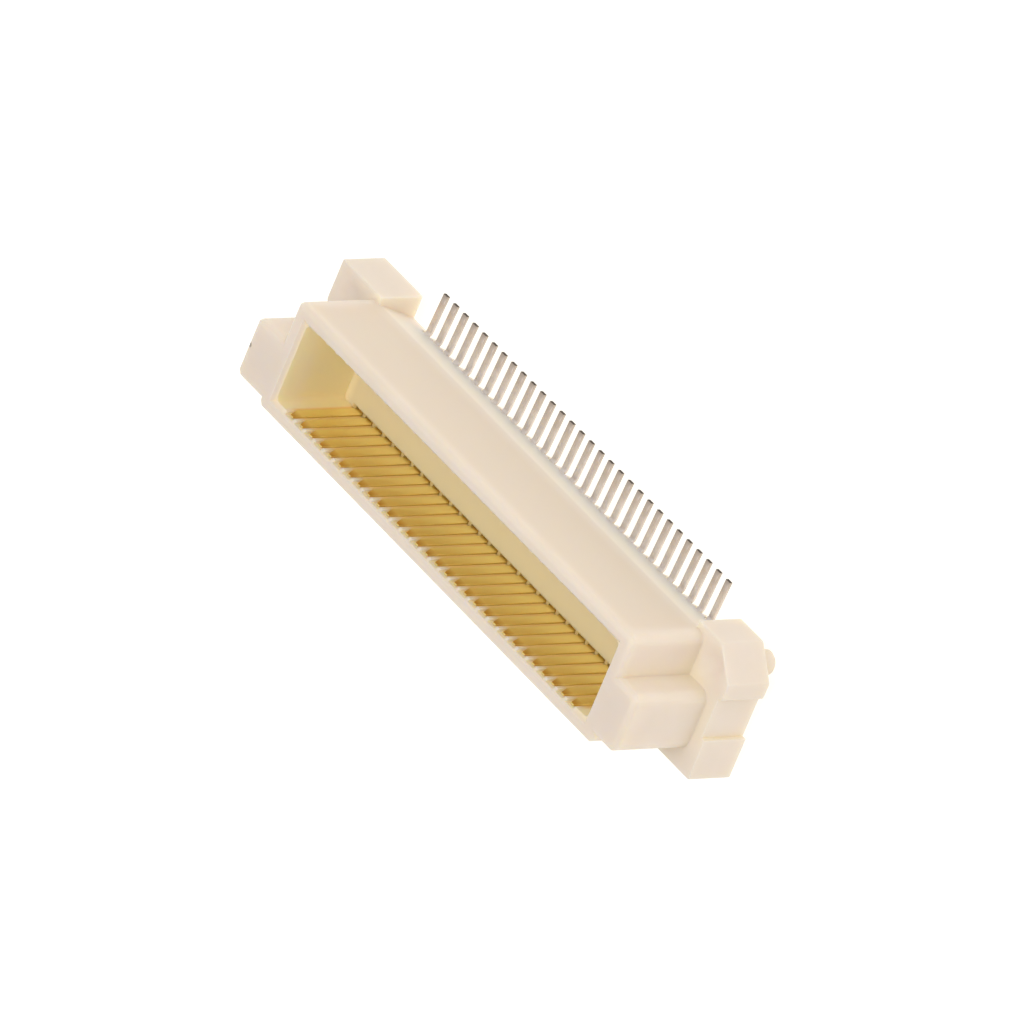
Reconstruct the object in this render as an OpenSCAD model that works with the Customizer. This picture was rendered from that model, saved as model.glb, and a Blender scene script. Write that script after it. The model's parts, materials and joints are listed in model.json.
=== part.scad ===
// Board to board connector: shrouded plug header, two rows of L-shaped contacts
// X runs along the rows, Y across them, Z is the mating direction
// The origin is the middle of the connector on the circuit board's surface

/* [Contacts] */
// Contacts in each of the two rows
contacts_per_row = 30; // [10:1:40]
// Distance from one contact to the next along a row
pitch = 0.8; // [0.7:0.05:1.27]
// Thickness of the metal strip that the contacts are stamped from
strip_t = 0.18; // [0.12:0.01:0.25]
// Width of the blade inside the shroud
blade_w = 0.54; // [0.3:0.02:0.56]
// Clear distance between the facing blades of the two rows
blade_gap = 4.02; // [3.6:0.02:6]
// How far the blades stand proud of the side walls, whose grooves hold them
blade_proud = 0.08; // [0.06:0.01:0.15]
// How far the blade tips stay below the rim
tip_drop = 0.25; // [0.2:0.05:1.5]
// Length over which each blade tip is coined thinner and narrower
lead_in = 0.45; // [0.3:0.05:0.9]
// Thickness left at the very tip of a blade
tip_t = 0.07; // [0.04:0.01:0.1]
// Width left at the very tip of a blade
tip_w = 0.24; // [0.1:0.02:0.28]
// Width of the solder tail
tail_w = 0.34; // [0.2:0.02:0.45]
// Overall width across the solder tails of both rows
tail_span = 8.7; // [7.8:0.1:12]
// Slope of the solder tails down towards their tips
tail_droop = 3; // [1:0.5:6]
// Inner radius of the bend between blade and tail
bend_r = 0.2; // [0.1:0.05:0.4]
// Clearance of a contact in its slot, on each side
slot_clear = 0.03; // [0.01:0.01:0.06]

/* [Shroud] */
// Height of the rim above the board
rim_h = 6.8; // [5:0.1:12]
// Height of the floor of the mating cavity above the board
floor_h = 2.5; // [1.8:0.1:3]
// Thickness of the long side walls
side_wall = 0.85; // [0.7:0.01:1.2]
// Thickness of the end walls
end_wall = 0.95; // [0.8:0.05:1.6]
// Room in the cavity beyond the middle of the last contact
end_room = 1.25; // [0.7:0.05:2]
// Radius of the upright outer corners
corner_r = 0.5; // [0.2:0.05:0.6]
// Radius of the upright corners inside the cavity
cavity_r = 0.25; // [0.1:0.05:0.5]
// Rounding around the outside of the rim
rim_r = 0.4; // [0.1:0.05:0.4]
// Bevel around the mouth of the cavity
mouth_bevel = 0.2; // [0.1:0.05:0.25]
// Width of the base where it meets the board
foot_w = 4.2; // [3.6:0.1:4.4]
// Length of the pocket that opens in front of each blade root
pocket_len = 0.05; // [0.05:0.01:0.3]
// Depth of that pocket below the cavity floor
pocket_depth = 0.3; // [0.2:0.1:1]

/* [End keys] */
// How far the key at the -X end stands out from its end wall
key_reach_1 = 2; // [1.2:0.05:2.2]
// How far the key at the +X end stands out from its end wall
key_reach_2 = 1.65; // [1.2:0.05:2.2]
// Width of each key
key_w = 3.25; // [2.4:0.05:4]
// Large rounding of one upright corner of the +X key, away from the pegs
key_corner_r = 0.75; // [0.6:0.05:1.2]
// Distance of the -X key's middle from the middle of the shroud
key_shift_1 = 0.95; // [0:0.05:1]
// Distance of the +X key's middle from the middle of the shroud
key_shift_2 = 0.8; // [0:0.05:1]

/* [Mounting ears] */
// Height of the ears, where the slope of the base begins too
ear_h = 2.5; // [2.4:0.1:3.5]
// Width across the ears
ear_w = 6.6; // [6.2:0.1:8]
// Length of each ear
ear_len = 3.25; // [3:0.05:5]
// Distance from the end of the cavity to the inner face of an ear
ear_start = 0.2; // [0.1:0.05:0.6]
// Cut across the one corner that marks the first contact's end
corner_cut = 1.4; // [0.6:0.1:1.5]
// Width of the shallow relief in the end face of each ear
relief_w = 2.1; // [1:0.1:2.4]
// Depth of that relief
relief_depth = 0.25; // [0.1:0.05:0.4]
// Rounding at the upper edge of that relief
relief_r = 0.25; // [0.1:0.05:0.3]
// Distance of the relief from the middle of the ear
relief_shift = 0.1; // [0:0.05:0.3]

/* [Locating pegs] */
// Diameter of the pegs that enter the board
peg_d = 1.2; // [0.8:0.05:1.3]
// Length of the pegs below the board's surface
peg_len = 0.85; // [0.4:0.05:1.5]
// Bevel around the lower end of a peg
peg_bevel = 0.15; // [0.05:0.05:0.2]
// Distance of a peg's axis from the end of its ear
peg_inset = 1.35; // [1.3:0.05:1.6]
// Distance of the pegs' axes from the middle of the connector
peg_y = 2.15; // [1.6:0.05:2.2]
// Diameter of the round moulding mark above each peg
mark_d = 1.4; // [0.8:0.1:1.5]
// Depth of that mark
mark_depth = 0.1; // [0.05:0.05:0.4]

/* [Hidden] */
$fn = 48;
// Overlap that keeps cuts and joins clean
eps = 0.05;

// Contact section, worked out from the blade outwards
blade_face = blade_gap / 2;
blade_back = blade_face + strip_t;
bend_y = blade_back + bend_r;
outer_r = bend_r + strip_t;
tail_len = (tail_span / 2 - bend_y + bend_r * sin(tail_droop)) / cos(tail_droop);
bend_z = tail_len * sin(tail_droop) + outer_r * cos(tail_droop);
tip_z = rim_h - tip_drop;

// Shroud, built outwards from the contacts
row_half = (contacts_per_row - 1) * pitch / 2;
cavity_x = row_half + end_room;
cavity_y = blade_face + blade_proud;
slot_back = blade_back + slot_clear;
shroud_x = cavity_x + end_wall;
shroud_y = cavity_y + side_wall;
foot_y = foot_w / 2;

// Ears
ear_x0 = cavity_x + ear_start;
ear_x1 = ear_x0 + ear_len;
ear_y = ear_w / 2;
peg_x = ear_x1 - peg_inset;

// Distance from a block's middle to its upright corner along the diagonal, where the rounding of its top begins
function corner_reach(reach, r) = (reach - 2 * r) / sqrt(2) + r + eps / 2;
function contact_x(i) = (i - 1) * pitch - row_half;
function contact_name(i) = str("contact_pair_", i < 10 ? "0" : "", i);

// Flat outline of a block with rounded corners; the one at +X and -Y may have a radius of its own
module rounded_rect(half_x, half_y, r, last_r) {
    corners = [[1, 1, r], [-1, 1, r], [-1, -1, r], [1, -1, last_r]];
    difference() {
        square([2 * half_x, 2 * half_y], center = true);
        for (c = corners) translate([c[0] * half_x, c[1] * half_y]) square(2 * c[2], center = true);
    }
    for (c = corners) translate([c[0] * (half_x - c[2]), c[1] * (half_y - c[2])]) circle(c[2]);
}

// A section in X and Z, drawn out across the connector
module across(half_y) {
    rotate([90, 0, 0]) linear_extrude(2 * half_y, center = true) children();
}

// A section in Y and Z, drawn out along the connector
module along(half_x) {
    rotate([90, 0, 90]) linear_extrude(2 * half_x, center = true) children();
}

// Upright section with its two upper corners rounded
module rounded_section(half, z0, z1, r) {
    translate([-half, z0]) square([2 * half, z1 - z0 - r]);
    translate([r - half, z0]) square([2 * (half - r), z1 - z0]);
    for (s = [-1, 1]) translate([s * (half - r), z1 - r]) circle(r);
}

// Block with rounded upright corners and a top edge that is rounded along the sides and across the corners
module rounded_block(half_x, half_y, z0, z1, last_r = corner_r) {
    reach = half_x + half_y;
    diagonal = corner_reach(reach, corner_r);
    last_diagonal = corner_reach(reach, last_r);
    intersection() {
        translate([0, 0, z0]) linear_extrude(z1 - z0) rounded_rect(half_x, half_y, corner_r, last_r);
        across(half_y + eps) rounded_section(half_x, z0, z1, rim_r);
        along(half_x + eps) rounded_section(half_y, z0, z1, rim_r);
        rotate(45) across(reach) rounded_section(diagonal, z0, z1, rim_r);
        rotate(-45)
            translate([(last_diagonal - diagonal) / 2, 0, 0])
                across(reach) rounded_section((last_diagonal + diagonal) / 2, z0, z1, rim_r);
    }
}

// Section of the base and walls: the flanks slope in to a narrow foot
module flank_section() {
    polygon([
        [-foot_y, 0], [foot_y, 0],
        [shroud_y, ear_h], [shroud_y, rim_h],
        [-shroud_y, rim_h], [-shroud_y, ear_h]
    ]);
}

module shroud_block() {
    intersection() {
        rounded_block(shroud_x, shroud_y, 0, rim_h);
        along(shroud_x + eps) flank_section();
    }
}

// Keys on the end walls, both set to the same side, which stop a reversed mating
module end_keys() {
    z0 = ear_h - eps;
    half_1 = (key_reach_1 + end_wall) / 2;
    half_2 = (key_reach_2 + end_wall) / 2;
    translate([half_1 - shroud_x - key_reach_1, -key_shift_1, 0])
        rounded_block(half_1, key_w / 2, z0, rim_h);
    translate([shroud_x + key_reach_2 - half_2, -key_shift_2, 0])
        rounded_block(half_2, key_w / 2, z0, rim_h, key_corner_r);
}

// Outline of one ear at the +X end
module ear_outline(cut) {
    difference() {
        translate([ear_x0, -ear_y]) square([ear_len, ear_w]);
        translate([ear_x1, -relief_shift]) relief_outline();
        if (cut)
            translate([ear_x1, ear_y]) rotate(45) square(corner_cut * sqrt(2), center = true);
    }
}

// Shallow relief in the ear's end, with its upper edge rounded over
module relief_outline() {
    translate([-relief_depth, -relief_w / 2]) square([relief_depth + eps, relief_w]);
    translate([-relief_r, relief_w / 2 - eps])
        difference() {
            square([relief_r + eps, relief_r + eps]);
            translate([0, relief_r + eps]) circle(relief_r);
        }
}

module ears() {
    linear_extrude(ear_h) ear_outline(true);
    linear_extrude(ear_h) mirror([1, 0]) ear_outline(false);
}

// Round peg under an ear, with a bevelled end
module peg() {
    translate([0, 0, -peg_len])
        rotate_extrude()
            polygon([
                [0, 0], [peg_d / 2 - peg_bevel, 0], [peg_d / 2, peg_bevel],
                [peg_d / 2, peg_len + eps], [0, peg_len + eps]
            ]);
}

// Mating cavity with its bevelled mouth
module cavity() {
    translate([0, 0, floor_h])
        linear_extrude(rim_h - floor_h + eps) rounded_rect(cavity_x, cavity_y, cavity_r, cavity_r);
    intersection() {
        across(shroud_y) mouth_section(cavity_x);
        along(shroud_x) mouth_section(cavity_y);
    }
}

module mouth_section(half) {
    b = mouth_bevel;
    polygon([[-half, rim_h - b], [half, rim_h - b], [half + b + eps, rim_h + eps], [-half - b - eps, rim_h + eps]]);
}

// Openings for the contacts, seen from above: one for each, from its back inwards
module slot_outlines(length) {
    half_w = blade_w / 2 + slot_clear;
    for (i = [1:contacts_per_row], s = [0, 1])
        mirror([0, s])
            translate([contact_x(i) - half_w, slot_back - length]) square([2 * half_w, length]);
}

module contact_slots() {
    slot_len = strip_t + 2 * slot_clear;
    // Slot through the base, which goes on as a groove up the side wall
    translate([0, 0, -eps]) linear_extrude(rim_h + 2 * eps) slot_outlines(slot_len);
    // Pocket in front of each blade root
    translate([0, 0, floor_h - pocket_depth])
        linear_extrude(pocket_depth + eps) slot_outlines(slot_len + pocket_len);
    // Way out at the foot for the bend and the tail
    exit_w = tail_w + 2 * slot_clear;
    for (i = [1:contacts_per_row], s = [0, 1])
        mirror([0, s, 0])
            translate([contact_x(i) - exit_w / 2, blade_face - slot_clear, -eps])
                cube([exit_w, shroud_y, bend_z + slot_clear + eps]);
}

module housing() {
    color("antiquewhite")
        difference() {
            union() {
                shroud_block();
                end_keys();
                ears();
                for (s = [-1, 1]) translate([s * peg_x, peg_y, 0]) peg();
            }
            cavity();
            contact_slots();
            for (s = [-1, 1])
                translate([s * peg_x, peg_y, ear_h - mark_depth]) cylinder(d = mark_d, h = mark_depth + eps);
        }
}

// Blade of a contact, in Y and Z: the side towards the cavity is bevelled at the tip
module blade_section() {
    polygon([
        [blade_face, bend_z], [blade_back, bend_z],
        [blade_back, tip_z], [blade_back - tip_t, tip_z],
        [blade_face, tip_z - lead_in]
    ]);
}

// Bend and solder tail of a contact, in Y and Z
module tail_section() {
    k = 3 * outer_r;
    translate([bend_y, bend_z]) {
        intersection() {
            difference() {
                circle(outer_r);
                circle(bend_r);
            }
            polygon([[0, 0], [-k, 0], [-k, -k], [-k * sin(tail_droop), -k * cos(tail_droop)]]);
        }
        rotate(-tail_droop) translate([0, -outer_r]) square([tail_len, strip_t]);
    }
}

// Face of a blade, in X and Z: the tip is narrowed from both sides
module blade_face_outline() {
    polygon([
        [-blade_w / 2, bend_z], [blade_w / 2, bend_z],
        [blade_w / 2, tip_z - lead_in], [tip_w / 2, tip_z],
        [-tip_w / 2, tip_z], [-blade_w / 2, tip_z - lead_in]
    ]);
}

module contact() {
    intersection() {
        along(blade_w) blade_section();
        across(shroud_y) blade_face_outline();
    }
    along(tail_w / 2) tail_section();
}

// The two contacts that face each other at one place in the rows
module contact_pair(i) {
    color("goldenrod")
        translate([contact_x(i), 0, 0]) {
            contact();
            mirror([0, 1, 0]) contact();
        }
}

housing();
for (i = [1:contacts_per_row])
    contact_pair(i);
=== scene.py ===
import json
import math

import bmesh
import bpy
from bpy.props import FloatProperty, FloatVectorProperty, PointerProperty, StringProperty
from mathutils import Euler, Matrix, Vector


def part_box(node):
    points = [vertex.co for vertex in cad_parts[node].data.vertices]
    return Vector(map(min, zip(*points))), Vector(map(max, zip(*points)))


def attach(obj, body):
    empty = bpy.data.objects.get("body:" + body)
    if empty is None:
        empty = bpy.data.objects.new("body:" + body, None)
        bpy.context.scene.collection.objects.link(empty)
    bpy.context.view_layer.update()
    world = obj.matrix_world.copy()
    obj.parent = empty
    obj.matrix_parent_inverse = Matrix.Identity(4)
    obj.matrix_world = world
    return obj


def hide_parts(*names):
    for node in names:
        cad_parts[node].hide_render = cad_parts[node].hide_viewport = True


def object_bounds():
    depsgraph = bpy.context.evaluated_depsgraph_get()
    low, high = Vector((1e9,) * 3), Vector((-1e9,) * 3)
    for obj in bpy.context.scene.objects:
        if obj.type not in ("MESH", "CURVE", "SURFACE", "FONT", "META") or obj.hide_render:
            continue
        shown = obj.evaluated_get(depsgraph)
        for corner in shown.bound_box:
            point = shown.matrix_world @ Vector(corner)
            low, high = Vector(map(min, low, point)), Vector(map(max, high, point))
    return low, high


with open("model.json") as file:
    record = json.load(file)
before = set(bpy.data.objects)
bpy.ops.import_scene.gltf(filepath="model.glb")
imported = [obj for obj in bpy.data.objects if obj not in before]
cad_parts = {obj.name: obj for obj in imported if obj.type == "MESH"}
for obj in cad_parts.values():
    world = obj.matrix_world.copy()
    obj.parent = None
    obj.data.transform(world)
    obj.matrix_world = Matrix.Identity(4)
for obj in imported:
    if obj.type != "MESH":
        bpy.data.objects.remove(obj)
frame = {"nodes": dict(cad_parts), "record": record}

bl_info = {
    "name": "Board to board connector",
    "version": (1, 0, 0),
    "blender": (4, 5, 0),
    "location": "3D View > Sidebar > Connector",
    "description": "Dresses a shrouded two-row connector with moulded plastic and plated contacts",
    "category": "Object",
}

MM = 0.001
CAD_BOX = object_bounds()
HOUSING_NODE = "housing"
CONTACT_NODES = sorted(name for name in frame["nodes"] if name.startswith("contact_pair_"))

# Planes of the moulding, in millimetres from its middle and from the board, worked out from the frame.
# The opening that the record gives for the mating half keeps a little clear of the cavity's walls, and the
# ears are as high as the cavity's floor.
OPENING = frame["record"]["physics"]["openings"][0]["box_m"]
EAR_END, _, RIM = (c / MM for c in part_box(HOUSING_NODE)[1])
LAST_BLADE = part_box(CONTACT_NODES[-1])[1][0] / MM
END_WALL = OPENING[1][0] / MM + 0.1
RIB_FRONT = OPENING[1][1] / MM + 0.085
GROOVE_BACK = RIB_FRONT + 0.13
LONG_WALL = RIB_FRONT + 0.85
FLOOR = OPENING[0][2] / MM - 0.02
EAR_TOP = FLOOR

# Which edges of ears and keys are rounded, in millimetres: none near the slots, the board or the rim, no
# upright ones in the ears' reliefs, and no inner ones beside the keys' -Y corners
SLOT_ROOM = 0.4
BOARD_ROOM = 0.05
RIM_ROOM = 0.5
RELIEF_ROOM = 0.3
RELIEF_HALF = 1.6
KEY_CORNER = -2.3
NEAR = 0.01

# Round marks on the ears, above the pegs; the foot of each has this share of its radius
PEG = next(mount for mount in frame["record"]["mounts"] if mount["kind"] == "pin")["pos_m"]
MARK_X, MARK_Y = abs(PEG[0]), PEG[1]
MARK_RADIUS = 0.7
MARK_DEPTH = 0.1
MARK_FOOT = 0.74

# Steps of the contacts' meshes: along a tail, round its bend, and round a stamped edge
TAIL_STEPS = 4
BEND_STEPS = 8
EDGE_STEPS = 3


# Colours and nodes

def to_linear(text):
    """Turns an sRGB hex colour into the linear RGBA that Blender's sockets take"""
    shares = [int(text[i:i + 2], 16) / 255 for i in (1, 3, 5)]
    return [c / 12.92 if c <= 0.04045 else ((c + 0.055) / 1.055) ** 2.4 for c in shares] + [1.0]


def per_mm(size):
    """Texture scale that gives one feature for each size in millimetres"""
    return 1 / (size * MM)


def add_node(tree, kind, inputs=None, **settings):
    """Adds one node with its settings; inputs holds a value or another node's output for each socket. A
    colour Mix node has its share at socket 0, its colours at 6 and 7 and its result at output 2"""
    node = tree.nodes.new(kind)
    for name, value in settings.items():
        setattr(node, name, value)
    for name, value in (inputs or {}).items():
        if isinstance(value, bpy.types.NodeSocket):
            tree.links.new(value, node.inputs[name])
        else:
            node.inputs[name].default_value = value
    return node


def new_material(name):
    """An empty node material and its tree"""
    material = bpy.data.materials.new(name)
    material.use_nodes = True
    material.node_tree.nodes.clear()
    return material, material.node_tree


def zone_share(tree, axes, limits):
    """How far each point lies in a zone of the moulding, 0 to 1. Each limit has an axis, a plane of the
    moulding, and how far outside that plane the share is 0 and where it reaches 1, in millimetres"""
    share = 1.0
    for axis, plane, none, full in limits:
        part = add_node(tree, "ShaderNodeMapRange", {
            "Value": axes[axis], "From Min": (plane + none) * MM, "From Max": (plane + full) * MM},
            interpolation_type="SMOOTHSTEP")
        share = add_node(tree, "ShaderNodeMath", {
            0: share, 1: part.outputs["Result"]}, operation="MULTIPLY").outputs["Value"]
    return share


def moulded_ivory(settings):
    """Ivory liquid crystal polymer, injection moulded in a spark-eroded tool: a matt skin with faint flow
    streaks along the walls. Light soaks in, and the cavity's amber glow and the zones' light and shade are
    painted into the colour"""
    material, tree = new_material("ivory_lcp_moulded")
    place = add_node(tree, "ShaderNodeTexCoord").outputs["Object"]
    along_flow = add_node(tree, "ShaderNodeMapping", {"Vector": place, "Scale": (0.16, 1.0, 1.0)})
    streaks = add_node(tree, "ShaderNodeTexNoise", {
        "Vector": along_flow.outputs["Vector"], "Scale": per_mm(1.3), "Detail": 4.0, "Roughness": 0.6})
    clouds = add_node(tree, "ShaderNodeTexNoise", {
        "Vector": place, "Scale": per_mm(3.5), "Detail": 2.0})
    blend = add_node(tree, "ShaderNodeMath", {
        0: streaks.outputs["Fac"], 1: clouds.outputs["Fac"]}, operation="ADD")
    share = add_node(tree, "ShaderNodeMapRange", {
        "Value": blend.outputs["Value"], "From Min": 0.7, "From Max": 1.3})
    colour = add_node(tree, "ShaderNodeMix", {
        0: share.outputs["Result"], 6: to_linear(settings.ivory), 7: to_linear(settings.ivory_flow)},
        data_type="RGBA")
    # Painted warm glow and shade in every crease: ambient occlusion mixes the crease tone into the colour
    hidden = add_node(tree, "ShaderNodeAmbientOcclusion", {
        "Distance": settings.glow_reach}, samples=6, only_local=True)
    painted_crease_glow = add_node(tree, "ShaderNodeMapRange", {
        "Value": hidden.outputs["AO"], "From Min": 0.2, "From Max": 0.95, "To Min": 0.75, "To Max": 0.0})
    colour = add_node(tree, "ShaderNodeMix", {
        0: painted_crease_glow.outputs["Result"], 6: colour.outputs[2], 7: to_linear(settings.painted_crease_glow)}, data_type="RGBA")
    # Painted light and shade by zone of the moulding, standing in for light through thin walls, gold glow
    # and shade in the cavity
    half = add_node(tree, "ShaderNodeVectorMath", {0: place}, operation="ABSOLUTE")
    axes = add_node(tree, "ShaderNodeSeparateXYZ", {"Vector": half.outputs["Vector"]}).outputs
    in_cavity = (("X", END_WALL, 0.15, 0.01), ("Y", GROOVE_BACK, 0.12, 0.02), ("Z", FLOOR, -0.5, -0.45))
    at_blades = (*in_cavity, ("X", LAST_BLADE, 0.33, 0.13))
    ribs = (*at_blades, ("Y", RIB_FRONT, -0.19, -0.07), ("Z", RIM, -0.2, -1.0))
    ears = (("X", END_WALL, 0.35, 0.95), ("Z", EAR_TOP, 0.3, 0.1))
    zones = (
        # Painted light on the foot beside the tails, lifting its shade
        (settings.painted_light_foot, (("X", END_WALL, 0.15, -0.25), ("Z", FLOOR, 0.1, -0.3))),
        # Painted shade on the long walls, warmed as painted glow from the cavity
        (settings.painted_wall_shade, (
            ("X", END_WALL, 0.45, -0.15), ("Y", LONG_WALL, -0.19, -0.02),
            ("Z", FLOOR, -0.1, 0.7), ("Z", RIM, 0.0, -0.8))),
        # Painted amber glow on the cavity walls
        (settings.painted_cavity_glow, (*in_cavity, ("Z", RIM, -0.05, -1.4))),
        # Painted light on the cavity walls just below the rim
        (settings.painted_rim_glow, (*in_cavity, ("Z", RIM, 0.0, -0.3), ("Z", RIM, -2.2, -0.9))),
        # Painted shade on the cavity floor
        (settings.painted_floor_shade, (*in_cavity, ("X", END_WALL, 0.01, -0.65), ("Z", FLOOR, 0.01, 0.005))),
        # Painted light in the groove mouths beside the blade tips, lifting their shadow
        (settings.painted_groove_light, (*at_blades, ("Y", RIB_FRONT, -0.05, 0.01), ("Z", RIM, 0.0, -0.25))),
        # Painted gold reflection on the ribs between the blades
        (settings.painted_rib_reflection, ribs),
        # Painted shade at the blade roots
        (settings.painted_root_shade, (*at_blades, ("Y", RIB_FRONT, -0.23, -0.17), ("Z", FLOOR, 0.2, 0.05))),
    )
    for tone, limits in zones:
        colour = add_node(tree, "ShaderNodeMix", {
            0: zone_share(tree, axes, limits), 6: colour.outputs[2], 7: to_linear(tone)}, data_type="RGBA")
    # Scar of the injection gate, high on one end key
    from_gate = add_node(tree, "ShaderNodeVectorMath", {0: place, 1: settings.gate}, operation="DISTANCE")
    scar = add_node(tree, "ShaderNodeMapRange", {
        "Value": from_gate.outputs["Value"], "From Min": 0.16 * MM, "From Max": 0.07 * MM, "To Max": 0.8})
    colour = add_node(tree, "ShaderNodeMix", {
        0: scar.outputs["Result"], 6: colour.outputs[2], 7: to_linear(settings.gate_scar)},
        data_type="RGBA")
    # Spark-eroded grain, drawn a little coarser than the real 0.03 mm so that it shows
    grain = add_node(tree, "ShaderNodeTexNoise", {
        "Vector": place, "Scale": per_mm(0.09), "Detail": 3.0, "Roughness": 0.55})
    swell = add_node(tree, "ShaderNodeTexNoise", {
        "Vector": place, "Scale": per_mm(1.8), "Detail": 1.0})
    soft = add_node(tree, "ShaderNodeBump", {
        "Height": swell.outputs["Fac"], "Strength": 0.25, "Distance": 0.05 * MM})
    skin = add_node(tree, "ShaderNodeBump", {
        "Height": grain.outputs["Fac"], "Strength": 0.35, "Distance": 0.01 * MM,
        "Normal": soft.outputs["Normal"]})
    dull = add_node(tree, "ShaderNodeMapRange", {
        "Value": streaks.outputs["Fac"], "To Min": 0.42, "To Max": 0.58})
    # Less light soaks into the ribs, which are thin, and into the ears, which have no cavity behind them
    soak = settings.soak
    for limits, kept in ((ribs, settings.rib_soak), (ears, settings.ear_soak)):
        part = add_node(tree, "ShaderNodeMapRange", {
            "Value": zone_share(tree, axes, limits), "To Min": 1.0, "To Max": kept})
        soak = add_node(tree, "ShaderNodeMath", {
            0: soak, 1: part.outputs["Result"]}, operation="MULTIPLY").outputs["Value"]
    shader = add_node(tree, "ShaderNodeBsdfPrincipled", {
        "Base Color": colour.outputs[2], "Roughness": dull.outputs["Result"], "IOR": 1.55,
        "Subsurface Weight": soak, "Subsurface Radius": (1.0, 0.85, 0.5),
        "Subsurface Scale": settings.soak_depth, "Normal": skin.outputs["Normal"]})
    add_node(tree, "ShaderNodeOutputMaterial", {"Surface": shader.outputs["BSDF"]})
    return material


def plated_metal(name, colour, second, at_end, line_mm, roughness):
    """Plated copper alloy strip: rolled lines run along the contact and the plating is uneven in tone. The
    colour darkens towards the contact's ends, as painted shade on the coined gold tips"""
    material, tree = new_material(name)
    place = add_node(tree, "ShaderNodeTexCoord").outputs["Object"]
    rolled = add_node(tree, "ShaderNodeMapping", {"Vector": place, "Scale": (1.0, 0.08, 0.08)})
    lines = add_node(tree, "ShaderNodeTexNoise", {
        "Vector": rolled.outputs["Vector"], "Scale": per_mm(line_mm), "Detail": 3.0})
    patches = add_node(tree, "ShaderNodeTexNoise", {
        "Vector": place, "Scale": per_mm(0.45), "Detail": 3.0})
    tone = add_node(tree, "ShaderNodeMapRange", {
        "Value": patches.outputs["Fac"], "From Min": 0.35, "From Max": 0.65})
    shade = add_node(tree, "ShaderNodeMix", {
        0: tone.outputs["Result"], 6: to_linear(colour), 7: to_linear(second)}, data_type="RGBA")
    # Darker towards the ends: painted shade on the coined gold tips, and a darker tone towards the tinned
    # tail ends
    end = add_node(tree, "ShaderNodeAttribute", attribute_name="end_share")
    shade = add_node(tree, "ShaderNodeMix", {
        0: end.outputs["Fac"], 6: shade.outputs[2], 7: to_linear(at_end)}, data_type="RGBA")
    dull = add_node(tree, "ShaderNodeMapRange", {
        "Value": lines.outputs["Fac"], "To Min": roughness - 0.08, "To Max": roughness + 0.1})
    scratch = add_node(tree, "ShaderNodeBump", {
        "Height": lines.outputs["Fac"], "Strength": 0.3, "Distance": 0.004 * MM})
    shader = add_node(tree, "ShaderNodeBsdfPrincipled", {
        "Base Color": shade.outputs[2], "Metallic": 1.0, "Roughness": dull.outputs["Result"],
        "Normal": scratch.outputs["Normal"]})
    add_node(tree, "ShaderNodeOutputMaterial", {"Surface": shader.outputs["BSDF"]})
    return material


# Settings

class HousingSettings(bpy.types.PropertyGroup):
    edge_round: FloatProperty(
        name="Edge rounding", description="Rounding of the edges of ears and keys",
        default=0.07 * MM, min=0.0, max=0.2 * MM, unit="LENGTH", precision=5)
    ivory: StringProperty(name="Ivory", description="Colour of the plastic", default="#E7D9CC")
    ivory_flow: StringProperty(
        name="Flow streaks", description="Colour of the flow streaks in the plastic", default="#E4D6C6")
    painted_wall_shade: StringProperty(
        # These colours are painted light and shade: shade on the long walls and cavity floor, glow in
        # creases and cavity, light on the foot, rim and groove mouths, gold reflection on the ribs, shade
        # at the blade roots
        name="Long walls", description="Colour of the long walls, warmed from the cavity",
        default="#E1D1BE")
    painted_light_foot: StringProperty(
        name="Light ivory", description="Colour of the foot beside the tails", default="#F1E3D2")
    painted_groove_light: StringProperty(
        name="Groove mouths", description="Colour of the grooves beside the blade tips",
        default="#FFEDD6")
    painted_crease_glow: StringProperty(
        name="Creases", description="Colour where facing walls warm each other", default="#F6E9C4")
    painted_cavity_glow: StringProperty(
        name="Amber glow", description="Colour of the cavity walls, which let light through",
        default="#FAEBC0")
    painted_rim_glow: StringProperty(
        name="Pale amber", description="Colour of the cavity walls below the rim", default="#FFEECE")
    painted_floor_shade: StringProperty(
        name="Cavity floor", description="Colour of the thick cavity floor", default="#E2D5B2")
    painted_rib_reflection: StringProperty(
        name="Deep amber", description="Colour of the ribs that stand between the blades",
        default="#FFD88A")
    painted_root_shade: StringProperty(
        name="Blade roots", description="Colour of the small pockets where the blades leave the floor",
        default="#D8BE80")
    gate: FloatVectorProperty(
        name="Gate", description="Place of the injection gate", size=3, subtype="TRANSLATION",
        default=(-15.56 * MM, -0.85 * MM, 6.765 * MM), precision=5)
    gate_scar: StringProperty(
        name="Gate scar", description="Colour of the scar that the gate left", default="#6A625A")
    glow_reach: FloatProperty(
        name="Glow reach", description="How near facing walls tint each other",
        default=1.5 * MM, min=0.0, unit="LENGTH", precision=5)
    soak: FloatProperty(
        name="Translucency", description="Share of the light that soaks into the plastic",
        default=0.8, min=0.0, max=1.0, subtype="FACTOR")
    rib_soak: FloatProperty(
        name="Translucency of the ribs", description="What the thin ribs keep of the translucency",
        default=0.45, min=0.0, max=1.0, subtype="FACTOR")
    ear_soak: FloatProperty(
        name="Translucency of the ears", description="What the solid ears keep of the translucency",
        default=0.5, min=0.0, max=1.0, subtype="FACTOR")
    soak_depth: FloatProperty(
        name="Soak depth", description="How far light travels in the plastic",
        default=0.9 * MM, min=0.0, unit="LENGTH", precision=5)


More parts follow.
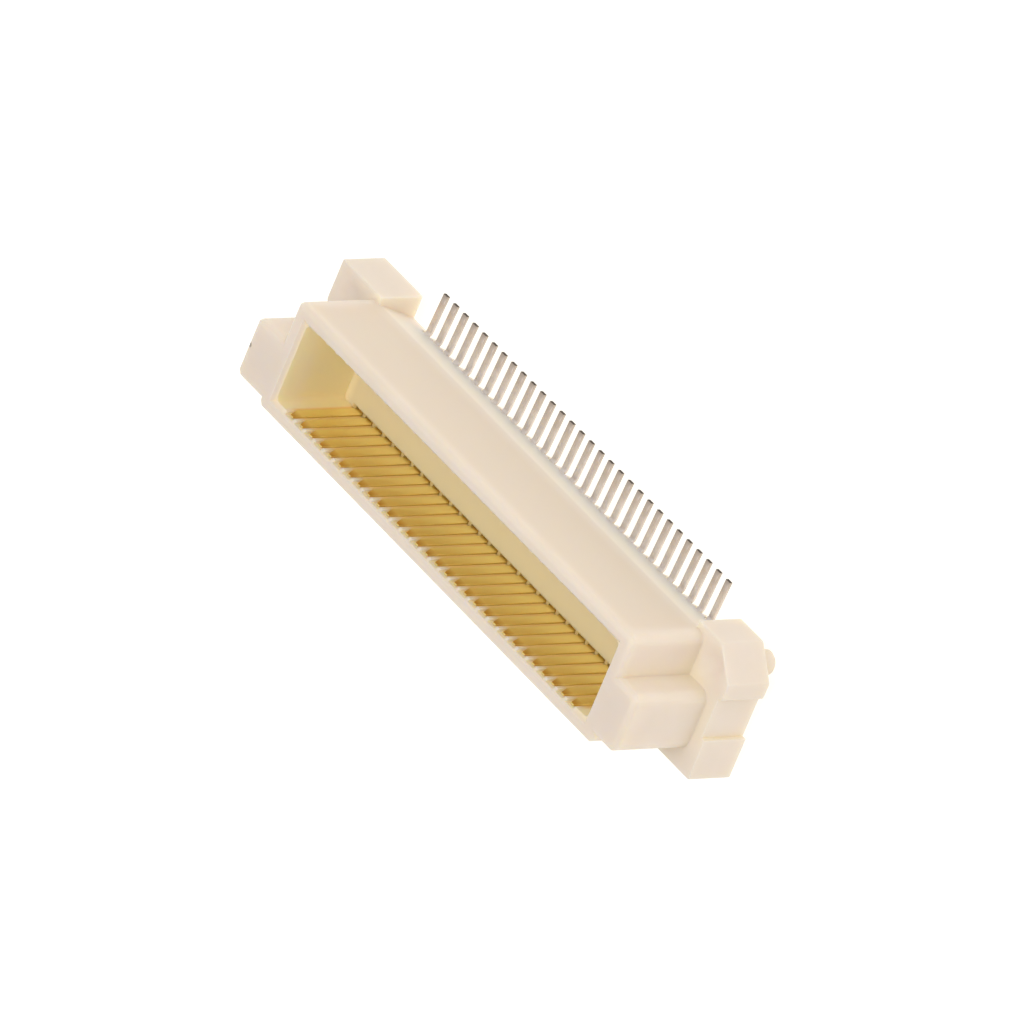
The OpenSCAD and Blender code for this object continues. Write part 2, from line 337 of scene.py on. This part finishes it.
class ContactSettings(bpy.types.PropertyGroup):
    strip: FloatProperty(
        name="Strip thickness", description="Thickness of the stamped strip",
        default=0.18 * MM, unit="LENGTH", precision=5)
    blade_width: FloatProperty(
        name="Blade width", description="Width of a blade in the shroud",
        default=0.54 * MM, unit="LENGTH", precision=5)
    blade_gap: FloatProperty(
        name="Gap between rows", description="Clear distance between facing blades",
        default=4.02 * MM, unit="LENGTH", precision=5)
    lead_in: FloatProperty(
        name="Coined length", description="Length of the coined blade tip",
        default=0.45 * MM, unit="LENGTH", precision=5)
    tip_strip: FloatProperty(
        name="Tip thickness", description="Thickness left at the blade tip",
        default=0.07 * MM, unit="LENGTH", precision=5)
    tip_width: FloatProperty(
        name="Tip width", description="Width left at the blade tip",
        default=0.24 * MM, unit="LENGTH", precision=5)
    tail_width: FloatProperty(
        name="Tail width", description="Width of a solder tail",
        default=0.34 * MM, unit="LENGTH", precision=5)
    tail_droop: FloatProperty(
        name="Tail slope", description="Slope of the tails towards their tips",
        default=math.radians(3), subtype="ANGLE")
    bend_radius: FloatProperty(
        name="Bend radius", description="Inner radius of the bend",
        default=0.2 * MM, unit="LENGTH", precision=5)
    edge_round: FloatProperty(
        name="Stamped edge", description="Rounding of the stamped edges",
        default=0.04 * MM, unit="LENGTH", precision=5)
    gold: StringProperty(name="Gold", description="Colour of the plated blades", default="#FFEEA6")
    gold_second: StringProperty(
        name="Gold, second tone", description="Second tone of the plated blades", default="#FFEBA2")
    # Painted shade on the coined tips, dimming their reflection
    painted_tip_shade: StringProperty(
        name="Gold at the tip", description="Colour of the coined blade tips", default="#D8A850")
    tin: StringProperty(name="Tin", description="Colour of the tinned tails", default="#EEE6DF")
    tin_second: StringProperty(
        name="Tin, second tone", description="Second tone of the tinned tails", default="#E0D7D0")
    tin_end: StringProperty(
        name="Tin at the end", description="Colour of the tails towards their ends", default="#C4B5A7")
    cut: StringProperty(
        name="Cut ends", description="Colour of the sheared tail ends", default="#6E6258")
    cut_second: StringProperty(
        name="Cut ends, second tone", description="Second tone of the sheared ends", default="#4E443C")


class StageSettings(bpy.types.PropertyGroup):
    floor: StringProperty(name="Floor", description="Colour of the floor", default="#A6A6A5")
    floor_half: FloatProperty(
        name="Floor size", description="Half the side of the floor", default=2.0, unit="LENGTH")
    glow_tone: StringProperty(
        name="Glow tone", description="Colour of the light that the light table sends up",
        default="#FFFCF3")
    floor_glow: FloatProperty(
        name="Floor glow", description="Light that the light table sends up", default=0.84, min=0.0)
    sky: FloatProperty(
        name="Room light", description="Strength of the even light of the room", default=0.64, min=0.0)
    light_place: FloatVectorProperty(
        name="Soft box", description="Place of the soft box, which points at the part's middle", size=3,
        subtype="TRANSLATION", default=(0.16, 0.22, 0.65))
    light_size: FloatProperty(
        name="Soft box size", description="Side of the soft box", default=0.5, unit="LENGTH")
    light_power: FloatProperty(
        name="Soft box power", description="Power of the soft box", default=2.0, unit="POWER")
    camera_place: FloatVectorProperty(
        name="Camera", description="Place of the camera", size=3, subtype="TRANSLATION",
        default=(0.6636912, 0.4832351, 0.7158439), precision=5)
    camera_turn: FloatVectorProperty(
        name="Camera turn", description="Turn of the camera about X, Y and Z", size=3, subtype="EULER",
        default=tuple(math.radians(a) for a in (-2.809628, 48.957410, 32.318206)))
    focal_length: FloatProperty(
        name="Focal length", description="Focal length of the camera in millimetres", default=835.2278)


# Meshes

def hand_over(name, mesh, node, materials):
    """Links a finished mesh as a piece that stands for a node of the frame"""
    for material in materials:
        mesh.materials.append(material)
    piece = bpy.data.objects.new(name, mesh)
    bpy.context.scene.collection.objects.link(piece)
    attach(piece, "root")
    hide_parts(node)


def on_mark(vert):
    """Whether a vertex belongs to one of the round marks above the pegs"""
    out = math.hypot(abs(vert.co.x) - MARK_X, vert.co.y - MARK_Y)
    return vert.co.z > (EAR_TOP - 2 * MARK_DEPTH) * MM and out < (MARK_RADIUS + NEAR) * MM


def soften_marks(bm):
    """Draws the foot of each round mark inwards, so that it is a shallow dish with sloping sides"""
    for vert in bm.verts:
        if on_mark(vert) and vert.co.z < (EAR_TOP - MARK_DEPTH / 2) * MM:
            centre = Vector((math.copysign(MARK_X, vert.co.x), MARK_Y, vert.co.z))
            vert.co = centre + (vert.co - centre) * MARK_FOOT


def rounded_edges(bm):
    """The edges of ears and keys that get a small rounding, clear of the slots, the rim and the board"""
    chosen = []
    for edge in bm.edges:
        middle = (edge.verts[0].co + edge.verts[1].co) / (2 * MM)
        way = edge.verts[1].co - edge.verts[0].co
        upright = abs(way.z) > 0.5 * way.length
        turn = edge.calc_face_angle_signed()
        sharp = abs(turn) > math.radians(30)
        past_slots = min(abs(v.co.x) for v in edge.verts) > (LAST_BLADE + SLOT_ROOM) * MM
        on_block = BOARD_ROOM < middle.z < RIM - RIM_ROOM
        in_cavity = (abs(middle.x) < END_WALL + NEAR and abs(middle.y) < RIB_FRONT + NEAR
                     and middle.z > FLOOR - NEAR)
        in_relief = abs(middle.x) > EAR_END - RELIEF_ROOM and abs(middle.y) < RELIEF_HALF and upright
        beside_corner = middle.y < KEY_CORNER and turn < 0
        left_sharp = in_cavity or in_relief or beside_corner or all(map(on_mark, edge.verts))
        if sharp and past_slots and on_block and not left_sharp:
            chosen.append(edge)
    return chosen


class CONNECTOR_OT_mould_housing(bpy.types.Operator):
    """Builds the moulded housing with its small edge roundings"""
    bl_idname = "connector.mould_housing"
    bl_label = "Mould the housing"

    def execute(self, context):
        settings = context.scene.connector_housing
        bm = bmesh.new()
        bm.from_mesh(frame["nodes"][HOUSING_NODE].data)
        bmesh.ops.remove_doubles(bm, verts=bm.verts, dist=0.0001 * MM)
        bmesh.ops.dissolve_limit(bm, angle_limit=math.radians(0.5), verts=bm.verts, edges=bm.edges)
        bmesh.ops.bevel(
            bm, geom=rounded_edges(bm), offset=settings.edge_round, offset_type="OFFSET", segments=3,
            profile=0.5, affect="EDGES", clamp_overlap=False, loop_slide=True)
        soften_marks(bm)
        # Slivers that the roundings leave where they meet
        bmesh.ops.remove_doubles(bm, verts=bm.verts, dist=0.002 * MM)
        bmesh.ops.dissolve_degenerate(bm, dist=0.001 * MM, edges=bm.edges)
        bmesh.ops.triangulate(bm, faces=bm.faces, quad_method="BEAUTY", ngon_method="BEAUTY")
        for face in bm.faces:
            face.smooth = True
        for edge in bm.edges:
            edge.smooth = edge.calc_face_angle(0.0) < math.radians(32)
        mesh = bpy.data.meshes.new("housing_moulding")
        bm.to_mesh(mesh)
        bm.free()
        hand_over("housing_moulding", mesh, HOUSING_NODE, (moulded_ivory(settings),))
        return {"FINISHED"}


def contact_stations(settings, top, reach):
    """Stations along one contact, tail end first: the middles of both faces in Y and Z, the half
    width, and how near the end it is"""
    face = settings.blade_gap / 2
    back = face + settings.strip
    inner, outer = settings.bend_radius, settings.bend_radius + settings.strip
    bend_y = back + inner
    droop = settings.tail_droop
    length = (reach - bend_y + inner * math.sin(droop)) / math.cos(droop)
    bend_z = length * math.sin(droop) + outer * math.cos(droop)
    half_tail, half_blade = settings.tail_width / 2, settings.blade_width / 2
    stations = []
    # Tail, from its sheared end back to the bend
    for k in range(TAIL_STEPS + 1):
        left = 1 - k / TAIL_STEPS
        y, z = bend_y + length * left * math.cos(droop), bend_z - length * left * math.sin(droop)
        faces = [Vector((y - r * math.sin(droop), z - r * math.cos(droop))) for r in (inner, outer)]
        stations.append((*faces, half_tail, left ** 2))
    # Bend
    for k in range(1, BEND_STEPS + 1):
        a = droop + (math.pi / 2 - droop) * k / BEND_STEPS
        faces = [Vector((bend_y - r * math.sin(a), bend_z - r * math.cos(a))) for r in (inner, outer)]
        stations.append((*faces, half_tail, 0.0))
    # Blade, at its full width from just above the bend to the shoulder of its coined tip
    shoulder = top - settings.lead_in
    for z in (bend_z + 0.05 * MM, shoulder / 2, shoulder):
        stations.append((Vector((back, z)), Vector((face, z)), half_blade, 0.0))
    # The coined slope gets painted shade that dims its reflection, and the rounded end above it keeps the
    # plain gold
    tip_face, half_tip, round_ = back - settings.tip_strip, settings.tip_width / 2, settings.edge_round
    stations.append((Vector((back, top - round_)), Vector((tip_face, top - round_)), half_tip, 1.0))
    stations.append((
        Vector((back - round_ / 4, top)), Vector((tip_face + round_ / 4, top)), half_tip - round_ / 2, 0.0))
    return stations


def contact_ring(bm, share, station, round_, side, x):
    """One ring of vertices round a station: a rectangle with rounded corners"""
    outside, inside, half, near_end = station
    across = inside - outside
    thick = across.length
    unit = across / thick
    # The roundings leave some flat on the thinnest sections
    r = min(round_, 0.45 * thick, 0.45 * half)
    corners = ((half - r, thick - r), (-half + r, thick - r), (-half + r, r), (half - r, r))
    ring = []
    for quarter, (cx, ct) in enumerate(corners):
        for k in range(EDGE_STEPS + 1):
            a = math.pi / 2 * (quarter + k / EDGE_STEPS)
            place = outside + unit * (ct + r * math.sin(a))
            vert = bm.verts.new((x + cx + r * math.cos(a), side * place.x, place.y))
            vert[share] = near_end
            ring.append(vert)
    return ring


class CONNECTOR_OT_stamp_contacts(bpy.types.Operator):
    """Builds the stamped contacts, one piece for each facing pair"""
    bl_idname = "connector.stamp_contacts"
    bl_label = "Stamp the contacts"

    def execute(self, context):
        settings = context.scene.connector_contacts
        gold = plated_metal(
            "gold_plated_bronze", settings.gold, settings.gold_second, settings.painted_tip_shade,
            line_mm=0.05, roughness=0.44)
        tin = plated_metal(
            "tin_plated_bronze", settings.tin, settings.tin_second, settings.tin_end,
            line_mm=0.06, roughness=0.55)
        cut = plated_metal(
            "sheared_bronze", settings.cut, settings.cut_second, settings.cut_second,
            line_mm=0.05, roughness=0.5)
        metals = (gold, tin, cut)
        for name in CONTACT_NODES:
            low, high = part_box(name)
            middle = (low[0] + high[0]) / 2
            stations = contact_stations(settings, high[2], high[1])
            bm = bmesh.new()
            share = bm.verts.layers.float.new("end_share")
            for side in (-1, 1):
                rings = [contact_ring(bm, share, s, settings.edge_round, side, middle) for s in stations]
                for n, (one, two) in enumerate(zip(rings, rings[1:])):
                    on_blade = n >= TAIL_STEPS + BEND_STEPS
                    for k in range(len(one)):
                        m = (k + 1) % len(one)
                        wall = bm.faces.new((one[k], one[m], two[m], two[k]))
                        wall.material_index = metals.index(gold if on_blade else tin)
                        wall.smooth = True
                bm.faces.new(rings[0]).material_index = metals.index(cut)
                bm.faces.new(rings[-1]).material_index = metals.index(gold)
            bmesh.ops.recalc_face_normals(bm, faces=bm.faces)
            mesh = bpy.data.meshes.new(name + "_metal")
            bm.to_mesh(mesh)
            bm.free()
            hand_over(name + "_metal", mesh, name, metals)
        return {"FINISHED"}


# Stage

def light_table(settings):
    """Opal acrylic, smooth and evenly lit from below"""
    material, tree = new_material("opal_acrylic_light_table")
    place = add_node(tree, "ShaderNodeTexCoord").outputs["Object"]
    haze = add_node(tree, "ShaderNodeTexNoise", {"Vector": place, "Scale": per_mm(60), "Detail": 2.0})
    rough = add_node(tree, "ShaderNodeMapRange", {
        "Value": haze.outputs["Fac"], "To Min": 0.7, "To Max": 0.8})
    shader = add_node(tree, "ShaderNodeBsdfPrincipled", {
        "Base Color": to_linear(settings.floor), "Roughness": rough.outputs["Result"],
        "Specular IOR Level": 0.2,
        "Emission Color": to_linear(settings.glow_tone), "Emission Strength": settings.floor_glow})
    add_node(tree, "ShaderNodeOutputMaterial", {"Surface": shader.outputs["BSDF"]})
    return material


class CONNECTOR_OT_set_stage(bpy.types.Operator):
    """Sets the light table, the soft light and the camera"""
    bl_idname = "connector.set_stage"
    bl_label = "Set the stage"

    def execute(self, context):
        scene = context.scene
        settings = scene.connector_stage
        mesh = bpy.data.meshes.new("floor")
        bm = bmesh.new()
        half, z = settings.floor_half, CAD_BOX[0][2]
        corners = ((-half, -half), (half, -half), (half, half), (-half, half))
        bm.faces.new([bm.verts.new((x, y, z)) for x, y in corners])
        bm.to_mesh(mesh)
        bm.free()
        mesh.materials.append(light_table(settings))
        floor = bpy.data.objects.new("floor", mesh)
        scene.collection.objects.link(floor)

        world = bpy.data.worlds.new("soft_room")
        world.use_nodes = True
        room = world.node_tree.nodes["Background"].inputs
        room["Color"].default_value = (1.0, 1.0, 1.0, 1.0)
        room["Strength"].default_value = settings.sky
        scene.world = world

        lamp = bpy.data.lights.new("key_light", "AREA")
        lamp.size = settings.light_size
        lamp.energy = settings.light_power
        light = bpy.data.objects.new("key_light", lamp)
        light.location = settings.light_place
        light.rotation_euler = (-Vector(settings.light_place)).to_track_quat("-Z", "Y").to_euler()
        scene.collection.objects.link(light)

        lens = bpy.data.cameras.new("camera")
        lens.sensor_width = 36.0
        lens.lens = settings.focal_length
        lens.clip_start, lens.clip_end = 0.01, 10.0
        camera = bpy.data.objects.new("camera", lens)
        camera.location = settings.camera_place
        camera.rotation_euler = Euler(settings.camera_turn)
        scene.collection.objects.link(camera)
        scene.camera = camera
        scene.view_settings.view_transform = "Standard"
        return {"FINISHED"}


class CONNECTOR_PT_panel(bpy.types.Panel):
    """Lists the steps that dress the connector"""
    bl_label = "Connector"
    bl_idname = "CONNECTOR_PT_panel"
    bl_space_type = "VIEW_3D"
    bl_region_type = "UI"
    bl_category = "Connector"

    def draw(self, context):
        for step in STEPS:
            self.layout.operator(step.bl_idname)


GROUPS = (
    ("connector_housing", HousingSettings),
    ("connector_contacts", ContactSettings),
    ("connector_stage", StageSettings),
)
STEPS = (CONNECTOR_OT_mould_housing, CONNECTOR_OT_stamp_contacts, CONNECTOR_OT_set_stage)


def register():
    for name, group in GROUPS:
        bpy.utils.register_class(group)
        setattr(bpy.types.Scene, name, PointerProperty(type=group))
    for cls in (*STEPS, CONNECTOR_PT_panel):
        bpy.utils.register_class(cls)


def unregister():
    for cls in (CONNECTOR_PT_panel, *reversed(STEPS)):
        bpy.utils.unregister_class(cls)
    for name, group in reversed(GROUPS):
        delattr(bpy.types.Scene, name)
        bpy.utils.unregister_class(group)


def main():
    register()
    bpy.ops.connector.mould_housing()
    bpy.ops.connector.stamp_contacts()
    bpy.ops.connector.set_stage()


if __name__ == "__main__":
    main()
